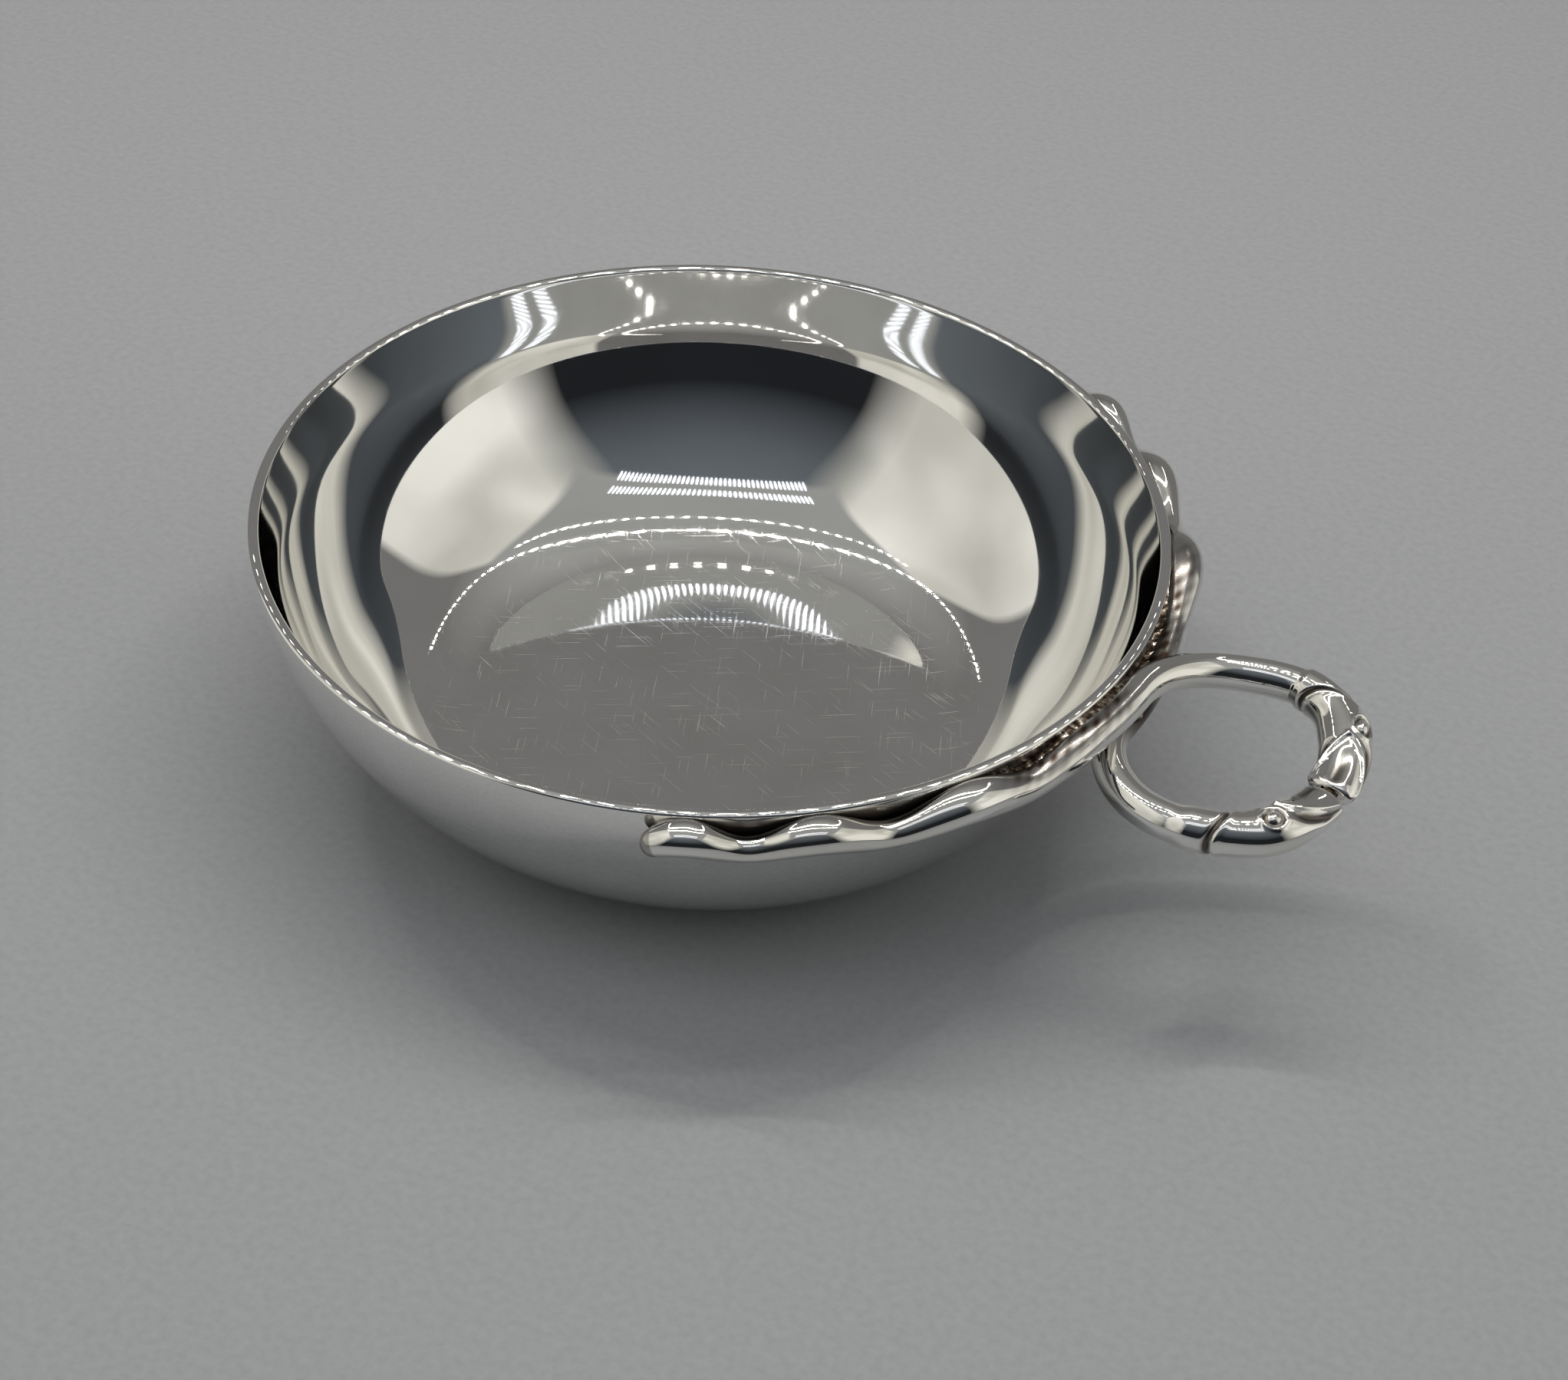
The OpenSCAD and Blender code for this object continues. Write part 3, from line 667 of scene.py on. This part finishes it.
# Each line has its height, its place and its width in millimetres. Below zero it is sunk.
COLLAR_LINES = (-COLLAR_DEEP, 0.0, 0.27), (0.08, 0.5, 0.35)
EYE_RINGS = (0.14, 1.15, 0.2), (-0.24, 0.8, 0.17), (0.2, 0.0, 0.42)
RIDGE_UP, RIDGE_W, CHEEK_UP, CHEEK_W, CHEEK_OFF = 0.24, 0.24, -0.26, 0.55, 30
DISH_UP, DISH_W, BEAD_UP, BEAD_W = -0.18, 0.6, 0.18, 0.28


def chased(lines, distance):
    return sum(height * hump(distance - at, width) for height, at, width in lines)


def relief(run, turn, hand):
    """How far the skin stands out from the plain body, in millimetres."""
    own = turn + (HEAD_ROLL if hand < 0 else 0)
    off_top = np.abs(own - 90)
    mid = HEAD_W / 2 * math.pi / 180
    eye = np.hypot(run - EYE_AT, (off_top - (90 - EYE_UP)) * mid)
    along = (run - BROW_AT) / (HEAD_L - END_ROUND - BROW_AT)
    brow_off = (90 - BROW_LOW) * np.power(np.clip(along, 0, None), 0.7)
    fade = ease((run - BROW_AT + 0.5) / 0.7) * ease((HEAD_L - run) / END_ROUND)
    top = ((own > -10) & (own < 190)).astype(float)
    slant = run + (UPPER_SLANT if hand > 0 else -COLLAR_SLANT) * np.cos(np.radians(turn))
    ridge = RIDGE_UP * hump((off_top - brow_off) * mid, RIDGE_W)
    cheek = CHEEK_UP * hump((off_top - brow_off - CHEEK_OFF) * mid, CHEEK_W) * ease(along * 3)
    dish = DISH_UP * hump(off_top * mid, DISH_W) * ease(along * 2 - 0.5)
    bead = BEAD_UP * hump(np.hypot(run - BROW_AT + 0.1, off_top * mid), BEAD_W)
    face = chased(EYE_RINGS, eye) * (own > 90) + fade * (ridge + cheek + dish) + bead
    return np.where(run < -COLLAR_FROM, 0, chased(COLLAR_LINES, slant) + top * face)


sample = relief(np.linspace(0, HEAD_L, 200)[:, None], np.linspace(0, 180, 91)[None, :], 1)
print("relief from", round(float(sample.min()), 2), "to", round(float(sample.max()), 2), "mm")

# %% [markdown]
# ## Polished cast silver
# The castings are the same silver, but a casting is a little more porous than hammered sheet, so its polish is
# softer and slightly darker. Polish and flux stay where no cloth reaches and turn brown, so each point gets a
# tarnish value: in blotches over the tail's root and on its tip. The same value also paints shade: on the side
# of the tail that lies against the wall, and on the lower body where the other one crosses over it.

# %% Cast silver, its tarnish and painted shade
# The wall-side and crossing values below shape painted shade; the root and tip values shape tarnish.
WALL_SHADE_SPREAD, ROOT_TOP, ROOT_SPREAD, CROSS_SHADE_SPREAD = 55, 88, 52, 5.0
ROOT_DARK, TIP_DARK, CROSS_SHADE = 1.7, 0.9, 1.7

cast_silver = silver_finish("polished_cast_silver", "#F1F0ED", "#E4E1DB", base_rough=0.03, worn=0.6)


def tail_tarnish_and_shade(path, serpent, turn):
    angle, x, y = path["angle"][:, None], path["points"][:, :1], path["points"][:, 1:2]
    # Painted shade: the side of the tail that lies against the wall is darkened.
    wall_side_shade = hump(np.abs(turn) - 180, WALL_SHADE_SPREAD) * (angle > OFF_TAIL)
    root = ease((angle - 2) / 4) * ease((30 - angle) / 8) * hump(turn - ROOT_TOP, ROOT_SPREAD)
    blotch = 0.75 + 0.25 * np.sin(1.9 * angle) * np.sin(turn / 9 + angle)
    tip = angle >= serpent["reach"] - 0.2
    # Painted shade: the lower body is darkened where the other body crosses over it.
    crossing = hump(np.hypot(x - ring_mid + RING_L / 2, y), CROSS_SHADE_SPREAD) * (serpent["hand"] < 0)
    return wall_side_shade + ROOT_DARK * root * blotch + TIP_DARK * tip + CROSS_SHADE * crossing


def darken(piece, tarnish_and_shade):
    """Stores the tarnish and painted shade of each point, from 0 to 1, where the silver's finish reads it."""
    stain = piece.data.attributes.new("tarnish_and_shade", "FLOAT", "POINT")
    stain.data.foreach_set("value", np.clip(tarnish_and_shade, 0, 1).astype(np.float32).ravel())


print("made", cast_silver.name)

# %% [markdown]
# Now the two castings are swept, with their height kept upright, so that the eyes stay on top all the way round
# the ring. The sunk lines of the heads are tarnished too. The lower serpent is the same casting turned over to
# the other side of the handle, so it is swept on the same side and mirrored in Y, with its faces turned round to
# keep them outward.

# %% Sweep the serpents
SIDES, FILL_TURN, FILL_SPREAD = 96, 135, 38
SUNK_FULL, GROOVE_DARK, TAIL_TARNISH_AND_SHADE = 0.18, 0.9, 0.6


def sweep_serpent(name, path, serpent, flip, node):
    p = path["points"]
    way = np.empty_like(p)
    way[1:-1], way[0], way[-1] = p[2:] - p[:-2], p[1] - p[0], (0, -1, 0)
    way = unit(way)
    side = unit(np.cross(way, (0, 0, 1)))
    high = np.cross(side, way)
    turn = 360 * np.arange(SIDES) / SIDES
    turn = np.where(turn > 270, turn - 360, turn)[None, :]
    rise = relief(path["run"][:, None], turn, serpent["hand"])
    sunk = np.clip(-rise / SUNK_FULL, 0, 1)
    rise = rise + CREST_FILL * path["crest"][:, None] * hump(turn - FILL_TURN, FILL_SPREAD)
    sideways = np.cos(np.radians(turn)) * (path["wide"][:, None] + rise)
    upward = np.sin(np.radians(turn)) * (path["tall"][:, None] + rise)
    rings = p[:, None, :] + side[:, None, :] * sideways[..., None] + high[:, None, :] * upward[..., None]
    points = rings.reshape(-1, 3) * ((1, -1, 1) if flip else (1, 1, 1))
    faces = skin_faces(len(p), SIDES, turned=True)
    made = mesh_piece(name, points, [f[::-1] for f in faces] if flip else faces, cast_silver)
    # The sunk lines get tarnish; the tails get tarnish and painted shade.
    darken(made, GROOVE_DARK * sunk + TAIL_TARNISH_AND_SHADE * tail_tarnish_and_shade(path, serpent, turn))
    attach(made, "root")
    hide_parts(node)
    return made


upper_serpent = sweep_serpent("upper_serpent_casting", upper_path, UPPER, False, "upper_serpent")
lower_serpent = sweep_serpent("lower_serpent_casting", lower_path, LOWER, True, "lower_serpent")
print("serpents of", len(upper_serpent.data.vertices), "and", len(lower_serpent.data.vertices), "points")

# %% [markdown]
# The wall in the small gaps between the tails and the rim is darkened with the same brown, as painted shade.
# The bowl gets it in the same tarnish value on its outside: it starts at the tail and ends just under the rim.

# %% Painted shade behind the tails
WALL_GAP_SHADE, RIM_CLEAN, RIM_FADE, TAIL_FADE, SKIN = 0.85, 0.25, 0.5, 0.8, 0.4

x, y, z = (bowl_points[:, k] for k in range(3))
around = np.degrees(np.arctan2(np.abs(y), x))
outer = np.hypot(x, y) > wall_r(np.minimum(z, BOWL_H - RIM_E)) - SKIN
behind = np.zeros(len(bowl_points))
for serpent, own_side in ((UPPER, y < 0), (LOWER, y > 0)):
    reach = ease((serpent["reach"] - 1 - around) / 3) * ease((around + 2) / 4)
    tail = tail_z(np.minimum(around, serpent["reach"]), serpent)
    above = ease((z - tail + TAIL_FADE) / TAIL_FADE) * ease((BOWL_H - RIM_CLEAN - z) / RIM_FADE)
    # Painted shade: the wall is darkened from each tail up to just under the rim.
    behind += own_side * reach * above * outer
darken(bowl, WALL_GAP_SHADE * behind)
print("darkened points on the bowl:", int((behind > 0.3).sum()), "of", len(behind))

# %% [markdown]
# ## Silver solder
# The castings are fixed with hard silver solder. Where it was filed it is bright, and where no file could reach
# it stays as a grainy crust, brown with flux stains. Its lumps are about 0.6 mm across, with finer grains on
# them. The beads at the crossing and between the snouts have the right shape in the CAD, so those solids stay and
# only get this finish.

# %% Finish of the solder
LUMP_L, GRAIN_DEEP = 0.6, 0.12

hard_solder, tree = new_material("hard_silver_solder")
spot = add(tree, "ShaderNodeTexCoord").outputs["Object"]
crust = add(tree, "ShaderNodeTexNoise", {"Vector": spot, "Scale": 1 / (LUMP_L * MM), "Detail": 5.0}).outputs["Fac"]
colour = add(tree, "ShaderNodeValToRGB", {"Fac": crust},
             ((0.42, linear("#33281F")), (0.56, linear("#7D7063")), (0.66, linear("#E6E0D6"))))
scatter = add(tree, "ShaderNodeMapRange", {
    "Value": crust, "From Min": 0.35, "From Max": 0.65, "To Min": 0.5, "To Max": 0.22})
grain = add(tree, "ShaderNodeBump", {"Height": crust, "Strength": 0.8, "Distance": GRAIN_DEEP * MM})
melt = add(tree, "ShaderNodeBsdfPrincipled", {
    "Base Color": colour.outputs["Color"], "Metallic": 1.0, "Roughness": scatter.outputs["Result"],
    "Normal": grain.outputs["Normal"]})
add(tree, "ShaderNodeOutputMaterial", {"Surface": melt.outputs["BSDF"]})
for joint in ("crossing_solder", "jaw_solder"):
    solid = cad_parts[joint]
    solid.data.materials.clear()
    solid.data.materials.append(hard_solder)
print("made", hard_solder.name)

# %% [markdown]
# The longest joints run along the roots of the tails. Solder was fed into the groove between wall and body and
# left there as a rough fillet, because no file fits in. Each fillet is a strip across the groove, from the wall
# to the outer side of the body, which thins out towards both ends. It has an uneven skin, and it takes the place
# of the plain bead in the CAD.

# %% Fillets along the tails
FILLET_FROM, FILLET_TO, FILLET_STEPS, ACROSS_STEPS = 30, 0.5, 150, 14
WALL_UP, RIM_BELOW, WALL_IN, BODY_UP = 0.9, 0.4, 0.1, 0.04
OUT_AT_END, OUT_MORE, END_SINK = -0.4, 1.1, 0.5
LUMP_UP, SKIN_UP, THICK, UNDER = 0.09, 0.04, 0.4, 0.4


def tail_fillet(name, serpent, flip, node):
    angle = np.linspace(FILLET_FROM, FILLET_TO, FILLET_STEPS)
    body, half = tail_bar(angle, serpent)
    r, z = np.hypot(body[:, 0], body[:, 1]), body[:, 2]
    along = 2 * (angle - FILLET_TO) / (FILLET_FROM - FILLET_TO) - 1
    end = np.sqrt(np.clip(1 - np.square(along), 0, 1))[:, None]
    wall_z = np.minimum(z + WALL_UP * half, BOWL_H - RIM_BELOW)
    step = np.linspace(0, 1, ACROSS_STEPS)[None, :]
    out = OUT_AT_END + OUT_MORE * end[:, 0]
    across = mix((wall_r(wall_z) - WALL_IN)[:, None], (r + out * half)[:, None], step)
    upward = mix(wall_z[:, None], (z + BODY_UP + half * np.sqrt(1 - out ** 2))[:, None], step)
    lumps = np.sin(2.1 * angle[:, None] + 5 * step) * np.sin(5.3 * angle[:, None] - 9 * step)
    upward = upward + (LUMP_UP * lumps + SKIN_UP) * np.sin(math.pi * step) * end - END_SINK * (1 - end)
    under = np.minimum(upward[:, ::-1] - THICK, (z + UNDER * half)[:, None])
    loop_r = np.concatenate([across, across[:, ::-1]], 1)
    loop_z = np.concatenate([upward, under], 1)
    a = np.radians(angle)[:, None] * (-1 if flip else 1)
    points = np.stack([loop_r * np.cos(a), -loop_r * np.sin(a), loop_z], 2).reshape(-1, 3)
    faces = skin_faces(FILLET_STEPS, 2 * ACROSS_STEPS)
    made = mesh_piece(name, points, [f[::-1] for f in faces] if flip else faces, hard_solder)
    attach(made, "root")
    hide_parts(node)
    print(name, "of", len(points), "points")


tail_fillet("near_tail_fillet", UPPER, False, "upper_tail_solder")
tail_fillet("far_tail_fillet", LOWER, True, "lower_tail_solder")
